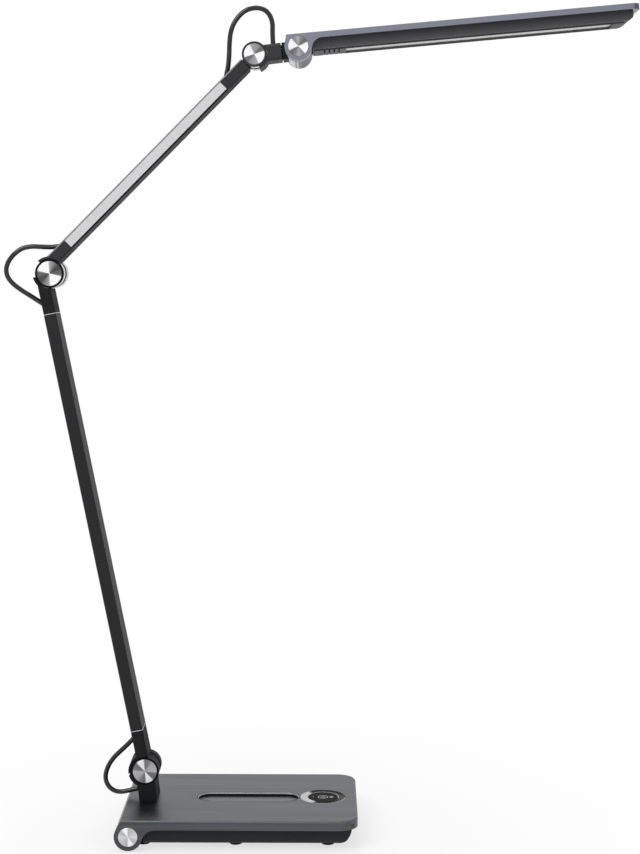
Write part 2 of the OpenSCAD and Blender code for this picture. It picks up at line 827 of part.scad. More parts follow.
// tongue of a cap: round end at the pivot and a neck that reaches the cap
module tongue(radius, x0, x1, z0, z1, hole) {
  slab(-tongue_thickness / 2, tongue_thickness / 2) difference() {
    union() {
      circle(radius);
      box_outline(x0, x1, z0, z1);
    }
    circle(hole);
  }
}

module lower_arm_tube() {
  color("dimgray") base_joint_frame()
    arm_tube(foot_cap_length, lower_run - elbow_cap_length, 0);
}

module lower_arm_foot_cap() {
  half = arm_width / 2;
  color("black") difference() {
    base_joint_frame() {
      difference() {
        arm_bar(0, foot_cap_length, 0);
        pin(hinge_cut, -arm_depth, arm_depth);
      }
      spigot(foot_cap_length - small, foot_cap_length + spigot_length, 0);
      tongue(tongue_radius, 0, hinge_cut + 2, -half, half, bolt_radius + running_fit);
      slab(-half_depth, half_depth) fin_outline(foot_fin_start);
    }
    cable_bore(base_loop[0], base_loop[1]);
  }
}

module base_joint_washers() {
  color("silver") base_joint_frame() joint_washers(bolt_radius + running_fit);
}

module lower_arm_elbow_cap() {
  half = arm_width / 2;
  color("black") difference() {
    union() {
      base_joint_frame() {
        arm_bar(lower_run - elbow_cap_length, lower_run, 0);
        spigot(lower_run - elbow_cap_length - spigot_length,
          lower_run - elbow_cap_length + small, 0);
      }
      elbow_in_lower() slab(-half_depth, half_depth) mirror([1, 0]) fin_outline(fin_start);
    }
    elbow_in_lower() {
      pin(hinge_cut, -arm_depth, arm_depth);
      both_sides() slab(cheek_inner + 1 - seat_gap, cheek_outer - 1 + seat_gap)
        box_outline(-hinge_cut - tenon_length - seat_gap, 0,
          lower_offset - tenon_height / 2 - seat_gap, lower_offset + tenon_height / 2 + seat_gap);
    }
    cable_bore(elbow_loop[0], elbow_loop[1]);
  }
}

// round cheeks of a joint, each with a tenon let into the cap behind it
module cheeks(radius, cut, offset, side) {
  both_sides() {
    slab(cheek_inner, cheek_outer) difference() {
      circle(radius);
      circle(bolt_radius + running_fit);
    }
    slab(cheek_inner + 1, cheek_outer - 1) mirror([side, 0]) difference() {
      box_outline(0, cut + tenon_length, offset - tenon_height / 2, offset + tenon_height / 2);
      circle(radius - small);
    }
  }
}

module cheek_counterbores() {
  both_sides() pin(bolt_head_radius + seat_gap, bolt_seat, half_depth);
}

module elbow_cheeks() {
  color("silver") elbow_in_lower() difference() {
    cheeks(hinge_radius, hinge_cut, lower_offset, 1);
    cheek_counterbores();
  }
}

module elbow_bezels() {
  color("black") elbow_in_lower() bezels(hinge_radius, hinge_disc_radius);
}

module elbow_discs() {
  color("silver") elbow_in_lower() joint_discs(hinge_disc_radius);
}

module elbow_bolt() {
  color("gray") elbow_in_lower() joint_bolt(bolt_seat);
}

// ---- upper arm ----

module upper_arm_tube() {
  color("dimgray") upper_frame() difference() {
    arm_tube(upper_cap_length, upper_run - wrist_cap_length, upper_offset);
    panels(seat_gap);
  }
}

module panels(play) {
  start = upper_cap_length;
  end = upper_run - wrist_cap_length;
  z0 = upper_offset - panel_width / 2 - play;
  both_sides() slab(half_depth - panel_thickness, half_depth + play)
    box_outline(start - play, end + play, z0, z0 + panel_width + 2 * play);
}

module upper_arm_panels() {
  color("silver") upper_frame() panels(0);
}

module upper_arm_elbow_cap() {
  half = arm_width / 2;
  color("black") difference() {
    upper_frame() {
      difference() {
        arm_bar(0, upper_cap_length, upper_offset);
        pin(hinge_cut, -arm_depth, arm_depth);
      }
      spigot(upper_cap_length - small, upper_cap_length + spigot_length, upper_offset);
      tongue(tongue_radius, 0, hinge_cut + 2, upper_offset - half, upper_offset + half - 0.2,
        bolt_radius + running_fit);
      slab(-half_depth, half_depth) fin_outline(fin_start);
    }
    cable_bore(elbow_loop[len(elbow_loop) - 1], elbow_loop[len(elbow_loop) - 2]);
  }
}

module elbow_washers() {
  color("silver") upper_frame() joint_washers(bolt_radius + running_fit);
}

module upper_arm_wrist_cap() {
  half = arm_width / 2;
  color("black") difference() {
    union() {
      upper_frame() {
        arm_bar(upper_run - wrist_cap_length, upper_run - wrist_cut, upper_offset);
        spigot(upper_run - wrist_cap_length - spigot_length,
          upper_run - wrist_cap_length + small, upper_offset);
      }
      wrist_in_upper() tongue(wrist_tongue_radius, -wrist_cut - 1, 0, -half + 0.4, half - 0.4,
        bolt_radius + running_fit);
    }
    cable_bore(wrist_loop[0], wrist_loop[1]);
  }
}

module wrist_washers() {
  color("silver") wrist_in_upper() joint_washers(bolt_radius + running_fit);
}

// ---- link and swivel ----

module link_outline() {
  bevelled(arm_depth, link_height, link_bevel);
}

module link_body() {
  color("black") difference() {
    link_frame() difference() {
      union() {
        bar(0, link_end) link_outline();
        slab(-half_depth, half_depth)
          arc_band(wrist_cut + fin_thickness, wrist_cut, -link_fin_end, -link_fin_start);
      }
      pin(wrist_cut, -arm_depth, arm_depth);
      both_sides() slab(cheek_inner + 1 - seat_gap, cheek_outer - 1 + seat_gap)
        box_outline(0, wrist_cut + wrist_tenon + seat_gap, -tenon_height / 2 - seat_gap,
          tenon_height / 2 + seat_gap);
      bar(shaft_start - seat_gap, link_end + small) circle(shaft_radius + running_fit);
    }
    cable_bore(wrist_loop[len(wrist_loop) - 1], wrist_loop[len(wrist_loop) - 2]);
  }
}

shaft_start = 15;
wrist_tenon = 5;
neck_start = link_end + swivel_gap;
shaft_seat = 4;

module wrist_cheeks() {
  color("silver") link_frame() difference() {
    both_sides() {
      slab(cheek_inner, cheek_outer) difference() {
        circle(wrist_radius);
        circle(bolt_radius + running_fit);
      }
      slab(cheek_inner + 1, cheek_outer - 1) difference() {
        box_outline(0, wrist_cut + wrist_tenon, -tenon_height / 2, tenon_height / 2);
        circle(wrist_radius - small);
      }
    }
    cheek_counterbores();
  }
}

module wrist_bezels() {
  color("black") link_frame() bezels(wrist_radius, wrist_disc_radius);
}

module wrist_discs() {
  color("silver") link_frame() joint_discs(wrist_disc_radius);
}

module wrist_bolt() {
  color("gray") link_frame() joint_bolt(bolt_seat);
}

module neck() {
  color("black") link_frame() difference() {
    union() {
      bar(neck_start, link_length) link_outline();
      translate([link_length, 0, 0]) pin(neck_radius, -half_depth, half_depth);
    }
    bar(neck_start - small, neck_start + shaft_seat) circle(shaft_radius + 0.05);
    translate([link_length, 0, 0]) pin(bolt_radius + running_fit, -arm_depth, arm_depth);
  }
}

// bright sleeve round the neck's barrel, flush with the rolled edge of the head
module neck_sleeve() {
  slot = link_height / 2 + seat_gap;
  color("silver") link_frame() translate([link_length, 0, 0])
    slab(-half_depth, half_depth) difference() {
      ring(head_roll_radius, neck_radius + seat_gap);
      box_outline(-2 * head_roll_radius, 0, -slot, slot);
    }
}

module swivel_shaft() {
  wall = 1.6;
  color("silver") link_frame() bar(shaft_start, neck_start + shaft_seat)
    ring(shaft_radius, shaft_radius - wall);
}

module swivel_washer() {
  color("silver") link_frame() bar(link_end + seat_gap, neck_start)
    ring(link_height / 2 - 0.5, shaft_radius + 0.05);
}

// ---- head ----

module head_roll_outline() {
  rolled_outline(-plate_back, plate_height, plate_bottom, head_roll_radius, head_roll_fillet,
    head_reach);
}

module head_disc_seat(depth) {
  both_sides() slab(head_width / 2 - disc_seat, head_width / 2 + depth)
    circle(head_disc_radius + seat_gap);
}

head_bolt_seat = head_width / 2 - 9;

module head_screw_spots() {
  for (x = [frame_start + 4.5, frame_end - 2.7]) for (y = [-1, 1])
    translate([x, y * (light_width / 2 - 5), 0]) children();
}

module head_plate() {
  color("slategray") head_frame() difference() {
    intersection() {
      slab(-head_width / 2, head_width / 2) head_roll_outline();
      translate([0, 0, -head_width]) linear_extrude(2 * head_width)
        plan(-head_width, head_reach, head_width / 2, plate_corner);
    }
    slab(-notch_half, notch_half)
      box_outline(-head_width, notch_right, -head_width, head_width);
    slab(-housing_half - seat_gap, housing_half + seat_gap)
      box_outline(housing_start - seat_gap, head_reach, -head_width, plate_bottom);
    head_disc_seat(small);
    both_sides() pin(bolt_head_radius + seat_gap, head_bolt_seat, head_width / 2);
    pin(bolt_radius + running_fit, -head_width, head_width);
    head_screw_spots() translate([0, 0, plate_bottom - small])
      cylinder(h = plate_thickness - 1.2, r = 1.1);
    slab(-optic_half, optic_half) box_outline(optic_start, optic_start + optic_length,
      plate_bottom - small, plate_height - plate_skin);
  }
}

plate_skin = 2;

// end view of the housing, its sides slanting in
module housing_section() {
  low = housing_half - housing_slant;
  polygon([[-low, housing_bottom], [low, housing_bottom], [housing_half, plate_bottom],
    [-housing_half, plate_bottom]]);
}

// side view of the housing, its free end rounded below
module housing_side() {
  r = housing_end_radius;
  box_outline(housing_start, housing_end - r, housing_bottom, plate_bottom);
  box_outline(housing_end - r - small, housing_end, housing_bottom + r, plate_bottom);
  translate([housing_end - r, housing_bottom + r]) circle(r);
}

module vent_spots() {
  for (i = [0:3]) translate([light_start - 6.1 - i * vent_pitch, 0, 0]) children();
}

module head_housing() {
  cavity_start = light_start - 6 - 4 * vent_pitch;
  color("black") head_frame() difference() {
    intersection() {
      bar(housing_start, housing_end) housing_section();
      slab(-head_width / 2, head_width / 2) housing_side();
      translate([0, 0, -head_width]) linear_extrude(2 * head_width)
        plan(housing_start - 1, housing_end, housing_half, housing_corner);
    }
    slab(-frame_half - seat_gap, frame_half + seat_gap)
      box_outline(frame_start - seat_gap, frame_end + seat_gap, housing_bottom - 1, light_ledge);
    slab(-optic_half - seat_gap, optic_half + seat_gap)
      box_outline(optic_start - seat_gap, optic_start + optic_length + seat_gap, light_ledge - small,
        plate_height);
    slab(-light_width / 2 + 1, light_width / 2 - 1)
      box_outline(cavity_start, optic_start - 1, light_ledge - small, plate_height);
    head_screw_spots() translate([0, 0, housing_bottom - 1]) cylinder(h = housing_height + 2, r = 1.3);
  }
}

// frame round the light, with the vent slots at its left end
module light_frame() {
  groove = 1.3;
  screw_seat = 1.3;
  color("black") head_frame() difference() {
    slab(-frame_half, frame_half)
      box_outline(frame_start, frame_end, frame_bottom, light_ledge);
    slab(-light_width / 2, light_width / 2)
      box_outline(light_start, light_start + light_length, frame_bottom - 1, light_ledge + 1);
    vent_spots() {
      slab(-frame_half - 1, frame_half + 1)
        box_outline(-vent_width / 2, vent_width / 2, frame_bottom - 1, frame_bottom + groove);
      slab(3 - light_width / 2, light_width / 2 - 3)
        box_outline(-vent_width / 2, vent_width / 2, frame_bottom - 1, light_ledge + 1);
    }
    head_screw_spots() translate([0, 0, frame_bottom - 1]) {
      cylinder(h = 1 + screw_seat, r = 2.3);
      cylinder(h = light_recess + 2, r = 1.3);
    }
  }
}

module optic(z, thickness, margin) {
  slab(-optic_half + margin, optic_half - margin)
    box_outline(optic_start, optic_start + optic_length, z, z + thickness);
}

guide_z = light_ledge + diffuser_thickness;

module diffuser() {
  color("white") head_frame() optic(light_ledge, diffuser_thickness, 0);
}

module light_guide() {
  color("white") head_frame() optic(guide_z, guide_thickness, board_thickness + 0.6);
}

module reflector() {
  color("white") head_frame()
    optic(guide_z + guide_thickness, reflector_thickness, board_thickness + 0.6);
}

module led_strips() {
  led = 0.4;
  pitch = 8;
  count = floor(optic_length / pitch) - 1;
  color("khaki") head_frame() both_sides() {
    slab(optic_half - board_thickness, optic_half)
      box_outline(optic_start, optic_start + optic_length, guide_z, guide_z + guide_thickness);
    for (i = [0:3:count]) slab(optic_half - board_thickness - led, optic_half - board_thickness + small)
      box_outline(optic_start + pitch + i * pitch - 2, optic_start + pitch + i * pitch + 2,
        guide_z + 0.4, guide_z + guide_thickness - 0.4);
  }
}

module head_discs() {
  color("silver") head_frame() both_sides()
    translate([0, disc_seat - head_width / 2, 0])
      turned_disc(head_disc_radius, 0, disc_seat + disc_proud / 2);
}

module head_bolt() {
  color("gray") head_frame() joint_bolt(head_bolt_seat);
}

module head_washers() {
  color("silver") link_frame() translate([link_length, 0, 0])
    both_sides() slab(half_depth, notch_half - seat_gap) ring(neck_radius - 1, bolt_radius + 0.1);
}

module head_screws() {
  color("silver") head_frame() head_screw_spots() {
    translate([0, 0, frame_bottom + 0.1]) cylinder(h = 1.2, r = 2.1);
    translate([0, 0, frame_bottom + 0.1]) cylinder(h = plate_bottom - frame_bottom + 3, r = 1);
  }
}

// ---- cables ----

module base_cable_loop() { color("black") cable(base_loop); }
module elbow_cable_loop() { color("black") cable(elbow_loop); }
module wrist_cable_loop() { color("black") cable(wrist_loop); }

// ---- drawing ----
base_cover();
base_tray();
ballast_plate();
rubber_feet();
base_end_discs();
touch_ring();
touch_glass();
slot_floor();
control_board();
dc_inlet();
base_screws();
post();
post_screws();
base_joint_bezels();
base_joint_discs();
base_joint_bolt();
lower_arm_tube();
lower_arm_foot_cap();
lower_arm_elbow_cap();
base_joint_washers();
elbow_cheeks();
elbow_bezels();
elbow_discs();
elbow_bolt();
upper_arm_tube();
upper_arm_panels();
upper_arm_elbow_cap();
upper_arm_wrist_cap();
elbow_washers();
wrist_washers();
link_body();
wrist_cheeks();
wrist_bezels();
wrist_discs();
wrist_bolt();
neck();
neck_sleeve();
swivel_shaft();
swivel_washer();
head_plate();
head_housing();
light_frame();
diffuser();
light_guide();
led_strips();
reflector();
head_discs();
head_bolt();
head_washers();
head_screws();
base_cable_loop();
elbow_cable_loop();
wrist_cable_loop();
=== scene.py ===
"""Folding desk lamp: finishes, cable loops, touch symbols, light and camera over its frame."""
import bmesh
import bpy
import math
import numpy as np
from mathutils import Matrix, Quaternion, Vector


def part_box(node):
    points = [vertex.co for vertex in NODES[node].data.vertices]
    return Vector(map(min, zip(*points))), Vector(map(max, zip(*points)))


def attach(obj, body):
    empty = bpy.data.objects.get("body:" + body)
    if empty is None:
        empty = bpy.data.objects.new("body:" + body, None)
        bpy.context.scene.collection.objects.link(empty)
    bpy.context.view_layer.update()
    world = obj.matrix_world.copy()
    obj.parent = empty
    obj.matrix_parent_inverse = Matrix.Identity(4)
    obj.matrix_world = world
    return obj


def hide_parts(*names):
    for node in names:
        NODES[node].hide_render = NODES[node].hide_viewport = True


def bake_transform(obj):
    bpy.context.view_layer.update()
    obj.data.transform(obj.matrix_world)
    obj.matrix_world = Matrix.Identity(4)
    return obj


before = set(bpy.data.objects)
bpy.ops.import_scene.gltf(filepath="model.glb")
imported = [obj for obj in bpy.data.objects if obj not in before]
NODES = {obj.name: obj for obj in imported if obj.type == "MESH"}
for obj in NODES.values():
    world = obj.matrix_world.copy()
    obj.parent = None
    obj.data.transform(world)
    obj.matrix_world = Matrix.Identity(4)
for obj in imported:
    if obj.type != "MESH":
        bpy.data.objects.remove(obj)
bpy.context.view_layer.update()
MM = 0.001
EASED = 0.4 * MM  # how far an edge's shine is rounded off


def middle(name):
    """Middle of a node's box, in metres."""
    low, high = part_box(name)
    return (Vector(low) + Vector(high)) / 2


# the middle of each pair of discs: in the base's rolled edge, and at four of the joints
ROLL = middle("base_end_discs")
FOOT = middle("base_joint_discs")
ELBOW = middle("elbow_discs")
WRIST = middle("wrist_discs")
HEAD = middle("head_discs")


# ---------------------------------------------------------------- camera

def make_camera():
    """Long lens 1.6 m in front of the lamp and a little above its middle, tipped down by 5.1
    degrees and rolled by 0.2."""
    data = bpy.data.cameras.new("camera")
    data.lens = 71.18
    data.sensor_width = 36.0
    data.clip_start = 0.05
    data.clip_end = 50.0
    camera = bpy.data.objects.new("camera", data)
    bpy.context.scene.collection.objects.link(camera)
    camera.location = (73.4 * MM, -1597.1 * MM, 532.9 * MM)
    tip = Quaternion((1, 0, 0), math.radians(90 - 5.1445))
    roll = Quaternion((0, 0, 1), math.radians(0.192))
    camera.rotation_mode = "QUATERNION"
    camera.rotation_quaternion = tip @ roll
    bpy.context.scene.camera = camera


make_camera()


# ---------------------------------------------------------------- finishes: how one is built

def linear(hex_colour):
    """sRGB hex such as '#80849a' to linear RGBA."""
    h = hex_colour.lstrip("#")
    out = []
    for i in (0, 2, 4):
        c = int(h[i:i + 2], 16) / 255
        out.append(c / 12.92 if c <= 0.04045 else ((c + 0.055) / 1.055) ** 2.4)
    return (*out, 1.0)


def add(tree, kind, inputs=None, **settings):
    """One node with its settings; inputs maps a socket to a value or to another node's output."""
    node = tree.nodes.new(kind)
    for key, value in settings.items():
        setattr(node, key, value)
    for key, value in (inputs or {}).items():
        if isinstance(value, bpy.types.NodeSocket):
            tree.links.new(value, node.inputs[key])
        else:
            node.inputs[key].default_value = value
    return node


NOISE_LOW, NOISE_HIGH = 0.32, 0.68  # nearly all of Blender's noise lies between these


class Finish:
    """A Principled material in object space. Its edges are eased by edge metres in the shading,
    and sockets gives any further values of the shader."""

    def __init__(self, name, colour, roughness, metallic=0.0, edge=EASED, **sockets):
        self.material = bpy.data.materials.new(name)
        self.material.use_nodes = True
        self.tree = self.material.node_tree
        self.shader = self.tree.nodes["Principled BSDF"]
        self.colour = linear(colour)
        self.roughness = roughness
        self.shader.inputs["Base Color"].default_value = self.colour
        self.shader.inputs["Roughness"].default_value = roughness
        self.shader.inputs["Metallic"].default_value = metallic
        for key, value in sockets.items():
            self.shader.inputs[key.replace("_", " ")].default_value = value
        self.place = add(self.tree, "ShaderNodeTexCoord").outputs["Object"]
        self.normal = add(self.tree, "ShaderNodeBevel", {"Radius": edge}, samples=4).outputs[0]
        self.tree.links.new(self.normal, self.shader.inputs["Normal"])

    def away_from(self, point):
        """Vector from a point, in metres, to each spot of the surface."""
        return add(self.tree, "ShaderNodeVectorMath", {0: self.place, 1: point},
                   operation="SUBTRACT").outputs[0]

    def grain(self, size, turn=0.0, detail=3.0, rough=0.6):
        """Noise from -1 to 1, its cells size = (x, y, z) in mm, in axes turned about Y by turn
        degrees."""
        axes = add(self.tree, "ShaderNodeMapping", {
            "Vector": self.place, "Rotation": (0.0, -math.radians(turn), 0.0),
            "Scale": tuple(s * MM for s in size)}, vector_type="TEXTURE")
        noise = add(self.tree, "ShaderNodeTexNoise", {
            "Vector": axes.outputs[0], "Scale": 1.0, "Detail": detail, "Roughness": rough})
        return add(self.tree, "ShaderNodeMapRange", {
            "Value": noise.outputs["Fac"], "From Min": NOISE_LOW, "From Max": NOISE_HIGH,
            "To Min": -1.0, "To Max": 1.0}).outputs[0]

    def lay(self, pattern, tone=0.0, gloss=0.0, depth=0.0):
        """Lays a pattern of -1 to 1 over the colour (as a share of it), the roughness and the
        height (in mm)."""
        if tone:
            share = add(self.tree, "ShaderNodeMath", {0: pattern, 1: tone, 2: 1.0},
                        operation="MULTIPLY_ADD").outputs[0]
            self.shade(share)
        if gloss:
            rough = add(self.tree, "ShaderNodeMath", {0: pattern, 1: gloss, 2: self.roughness},
                        operation="MULTIPLY_ADD").outputs[0]
            self.tree.links.new(rough, self.shader.inputs["Roughness"])
        if depth:
            self.normal = add(self.tree, "ShaderNodeBump", {
                "Height": pattern, "Distance": depth * MM, "Normal": self.normal}).outputs[0]
            self.tree.links.new(self.normal, self.shader.inputs["Normal"])
        return self

    def shade(self, share):
        """Multiplies the colour by share, on top of what is there."""
        under = self.shader.inputs["Base Color"]
        below = under.links[0].from_socket if under.is_linked else self.colour[:3]
        shaded = add(self.tree, "ShaderNodeVectorMath", {0: below, "Scale": share},
                     operation="SCALE").outputs[0]
        self.tree.links.new(shaded, under)


def eroded_skin(f, cloud):
    """Skin from a spark-eroded mould: cells of 0.5 mm under a faint cloud of 18 mm from the flow,
    so that it looks even and matt and is never quite flat."""
    f.lay(f.grain((18, 18, 18)), tone=cloud, gloss=0.05)
    return f.lay(f.grain((0.5, 0.5, 0.5), detail=2.0), depth=0.02).material


def moulded(name, colour, roughness=0.5, gloss_level=0.1, cloud=0.08):
    """Moulded plastic or rubber, and other matt skins that show no metal, such as solder mask, a
    blackened screw and painted shadow."""
    return eroded_skin(Finish(name, colour, roughness, Specular_IOR_Level=gloss_level), cloud)


def shadowed(name, colour, place, up, fade, share):
    """Moulded ABS that darkens to a share of its colour over the last fade mm below a place:
    painted shade under an overhang."""
    f = Finish(name, colour, 0.5, Specular_IOR_Level=0.1)
    height = add(f.tree, "ShaderNodeVectorMath", {0: f.away_from(place), 1: up},
                 operation="DOT_PRODUCT").outputs["Value"]
    # painted shade: the colour darkens to share over the last fade mm below the place
    f.shade(add(f.tree, "ShaderNodeMapRange", {"Value": height, "From Min": -fade * MM,
            "From Max": 0.0, "To Min": 1.0, "To Max": share}).outputs[0])
    return eroded_skin(f, 0.06)


def painted(name, colour):
    """Powder coat on die-cast zinc: orange peel of 1.2 mm, which breaks up a soft sheen."""
    f = Finish(name, colour, 0.5, Specular_IOR_Level=0.04)
    f.lay(f.grain((25, 25, 25)), tone=0.06, gloss=0.04)
    return f.lay(f.grain((1.2, 1.2, 1.2), detail=2.0), depth=0.03).material


def drawn(name, colour, turn, roughness, metallic=0.5, tone=0.06, tint=1.0):
    """Anodised aluminium profile: die lines 0.8 mm apart draw the light out along the bar. tint is
    the tone of its sheen where it is seen along the face."""
    f = Finish(name, colour, roughness, metallic, Specular_Tint=(tint, tint, tint, 1.0))
    lines = f.grain((160, 0.8, 0.8), turn)
    return f.lay(lines, tone=tone, gloss=0.05, depth=0.01).material


def satin(name, colour, roughness=0.35, metallic=1.0):
    """Bead-blasted, tumbled, plated or cut metal: even grain of 0.6 mm, a silky shine with no
    direction."""
    f = Finish(name, colour, roughness, metallic)
    f.lay(f.grain((12, 12, 12)), tone=0.04, gloss=0.04)
    return f.lay(f.grain((0.6, 0.6, 0.6)), depth=0.01).material


def brushed_plate(name, colour):
    """Brushed and tinted aluminium sheet: long strokes along X that shimmer, over broad soft bands
    where the belt bore harder. Real strokes are under 0.5 mm wide. They are drawn 4.5 and 2.2 mm
    wide so that they show."""
    f = Finish(name, colour, 0.36, 1.0)
    strokes = f.grain((400, 4.5, 4.5), rough=0.55)
    f.lay(f.grain((260, 30, 30), detail=1.0), tone=0.16)
    f.lay(f.grain((160, 2.2, 2.2), detail=1.0), tone=0.14)
    f.lay(strokes, tone=0.3)
    return f.lay(strokes, gloss=0.06, depth=0.012).material


def turned(name, centre, wedges, repeats=2, across="Z", tint=1.0):
    """Face turned on a lathe: rings 0.35 mm apart in its relief. Real rings are too fine to make
    their wedges of light and dark in a render, so these are painted into the colour, as painted
    highlights and painted shade: wedges is a list of (degrees, grey from 0 to 255) within one
    repeat, of which a full turn has repeats. across is the second axis of the face, after X, and
    tint is the tone of its sheen."""
    f = Finish(name, "#c8c8ca", 0.32, 0.35, Specular_Tint=(tint, tint, tint, 1.0))
    axes = add(f.tree, "ShaderNodeSeparateXYZ", {"Vector": f.away_from(centre)}).outputs
    angle = add(f.tree, "ShaderNodeMath", {0: axes[across], 1: axes["X"]}, operation="ARCTAN2")
    # how far round one repeat, from 0 to 1
    part = add(f.tree, "ShaderNodeMath", {0: angle.outputs[0], 1: repeats / (2 * math.pi), 2: 1.0},
               operation="MULTIPLY_ADD")
    part = add(f.tree, "ShaderNodeMath", {0: part.outputs[0]}, operation="FRACT")
    # painted highlights and painted shade: a grey for each angle round the centre
    ramp = add(f.tree, "ShaderNodeValToRGB", {"Fac": part.outputs[0]})
    points = ramp.color_ramp.elements
    while len(points) < len(wedges):
        points.new(0.5)
    for point, (degrees, grey) in zip(points, wedges):
        point.position = degrees * repeats / 360
        point.color = linear("#%02x%02x%02x" % (grey, grey, min(255, grey + 2)))
    f.tree.links.new(ramp.outputs["Color"], f.shader.inputs["Base Color"])
    flat = add(f.tree, "ShaderNodeCombineXYZ", {"X": axes["X"], "Y": axes[across]}).outputs[0]
    radius = add(f.tree, "ShaderNodeVectorMath", {0: flat}, operation="LENGTH").outputs["Value"]
    rings = add(f.tree, "ShaderNodeMath", {0: radius, 1: 2 * math.pi / (0.35 * MM)},
                operation="MULTIPLY")
    rings = add(f.tree, "ShaderNodeMath", {0: rings.outputs[0]}, operation="SINE").outputs[0]
    return f.lay(rings, depth=0.004).material


# ---------------------------------------------------------------- new surfaces: how one is built

def surface(name, grids, material, smooth=False):
    """One piece from grids of points, each an array of rows x columns x 3 in metres: every cell
    between four neighbours is a face. A grid that closes repeats its first row or column."""
    verts, faces, start = [], [], 0
    for grid in grids:
        rows, columns = grid.shape[:2]
        index = start + np.arange(rows * columns).reshape(rows, columns)
        cells = np.stack([index[:-1, :-1], index[:-1, 1:], index[1:, 1:], index[1:, :-1]], axis=-1)
        verts.append(grid.reshape(-1, 3))
        faces.append(cells.reshape(-1, 4))
        start += rows * columns
    mesh = bpy.data.meshes.new(name)
    mesh.from_pydata(np.concatenate(verts).tolist(), [], np.concatenate(faces).tolist())
    mesh.materials.append(material)
    mesh.polygons.foreach_set("use_smooth", [smooth] * len(mesh.polygons))
    piece = bpy.data.objects.new(name, mesh)
    bpy.context.scene.collection.objects.link(piece)
    return piece


def thicken(piece, wall, body):
    """Gives a thin piece its wall, inwards from its faces, and the body that it rides on."""
    modifier = piece.modifiers.new("wall", "SOLIDIFY")
    modifier.thickness = wall
    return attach(piece, body)


def close_seams(piece):
    """Merges the points where a grid meets itself or shrinks to a pole."""
    work = bmesh.new()
    work.from_mesh(piece.data)
    bmesh.ops.remove_doubles(work, verts=work.verts, dist=1e-6)
    bmesh.ops.recalc_face_normals(work, faces=work.faces)
    work.to_mesh(piece.data)
    work.free()
    return piece


# ---------------------------------------------------------------- cable loops over the joints

CABLE_DIAMETER = 4.6 * MM
# the two bodies, the joint, the two points between which the loop bends, and its middle line
# from the first body on, all in mm from the joint
LOOPS = {
    "base_cable_loop": ("lower_arm", "base", FOOT, (-7.1, 33.3), (-17.8, -20.6), [
        (-9.8, 30.6), (-14.1, 26.2), (-19.6, 20.6), (-25.1, 15.4), (-30, 10.6), (-34.1, 5.4),
        (-37.4, -0.6), (-39.4, -7.6), (-39, -14.1), (-35.9, -20), (-30.4, -23.8),
        (-24.1, -24.6), (-17.6, -23.4), (-11.6, -22), (-3.6, -20.4)]),
    "elbow_cable_loop": ("lower_arm", "upper_arm", ELBOW, (-23.2, -12.8), (18.9, 19.6), [
        (-5.9, -30.3), (-10.1, -27.6), (-19.3, -21.7), (-28.9, -15.6), (-36.7, -9.6),
        (-41.5, -3.4), (-42.9, 3.6), (-40.9, 10.6), (-35.7, 17.6), (-27.9, 23.2),
        (-18.9, 25.2), (-9.3, 25), (-0.8, 24.8), (5.7, 25.4), (10.1, 26)]),
    "wrist_cable_loop": ("upper_arm", "link", WRIST, (-26.8, -18.5), (16.9, 12.2), [
        (-27.5, -21.3), (-26.2, -15.7), (-24.8, -8.2), (-24, 1.8), (-23.6, 11.8),
        (-22.4, 21.8), (-19, 30.8), (-13.2, 38.1), (-6.6, 42.5), (1.4, 44.1), (8.8, 42.3),
        (13.8, 37.3), (16.2, 30.3), (16.4, 23.3), (16.6, 16.3), (17.2, 8.2)]),
}


def from_joint(joint, points):
    """Points in the X-Z plane, in metres, from (x, z) in mm from a joint."""
    x, z = np.array(points).T * MM
    return np.stack([joint.x + x, 0 * x, joint.z + z], axis=-1)


def smooth_path(points, steps=6):
    """Catmull-Rom curve: between b and c, half of 2b + (c - a)t + (2a - 5b + 4c - d)t^2
    + (3b - a - 3c + d)t^3."""
    p = np.vstack([2 * points[0] - points[1], points, 2 * points[-1] - points[-2]])
    a, b, c, d = (p[i:len(p) - 3 + i, None, :] for i in range(4))
    t = (np.arange(steps) / steps)[None, :, None]
    curve = 0.5 * (2 * b + (c - a) * t + (2 * a - 5 * b + 4 * c - d) * t ** 2
                   + (3 * b - a - 3 * c + d) * t ** 3)
    return np.vstack([curve.reshape(-1, 3), points[-1:]])


def cable(name, path, radius, material, sides=16):
    """Round cable: at each point of a path in the X-Z plane, a ring of cos(u) up + sin(u) Y,
    and a ring of no size at both ends."""
    step = np.gradient(path, axis=0)
    step /= np.linalg.norm(step, axis=1)[:, None]
    up = np.cross(step, (0.0, 1.0, 0.0))
    u = np.linspace(0, 2 * math.pi, sides + 1)[None, :, None]
    ring = radius * (np.cos(u) * up[:, None, :] + np.sin(u) * np.array((0.0, 1.0, 0.0)))
    grid = path[:, None, :] + ring
    ends = [np.repeat(path[i][None, None, :], sides + 1, axis=1) for i in (0, -1)]
    return close_seams(surface(name, [np.concatenate([ends[0], grid, ends[1]])], material,
                               smooth=True))


# flexible PVC, extruded: smooth black, with a soft line of light along the cable
CABLE_PVC = Finish("cable_pvc", "#101011", 0.14, Specular_IOR_Level=0.5)
CABLE_PVC.lay(CABLE_PVC.grain((20, 20, 20)), tone=0.1, gloss=0.03)
for name, (first, second, joint, start, end, route) in LOOPS.items():
    path = smooth_path(from_joint(joint, route))
    loop = cable(name + "_sheath", path, CABLE_DIAMETER / 2, CABLE_PVC.material)
    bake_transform(loop)
    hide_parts(name)


# ---------------------------------------------------------------- finishes on the frame

# how far each bar is turned about Y, in degrees
LOWER_TURN = -101.2
UPPER_TURN = -45.2
HEAD_TURN = -5.3
HEAD_ALONG = Vector((math.cos(math.radians(-HEAD_TURN)), 0.0, math.sin(math.radians(-HEAD_TURN))))
HEAD_UP = Vector((-HEAD_ALONG.z, 0.0, HEAD_ALONG.x))
PLATE_UNDERSIDE = HEAD + HEAD_UP * 6.1 * MM  # where the housing meets the head plate

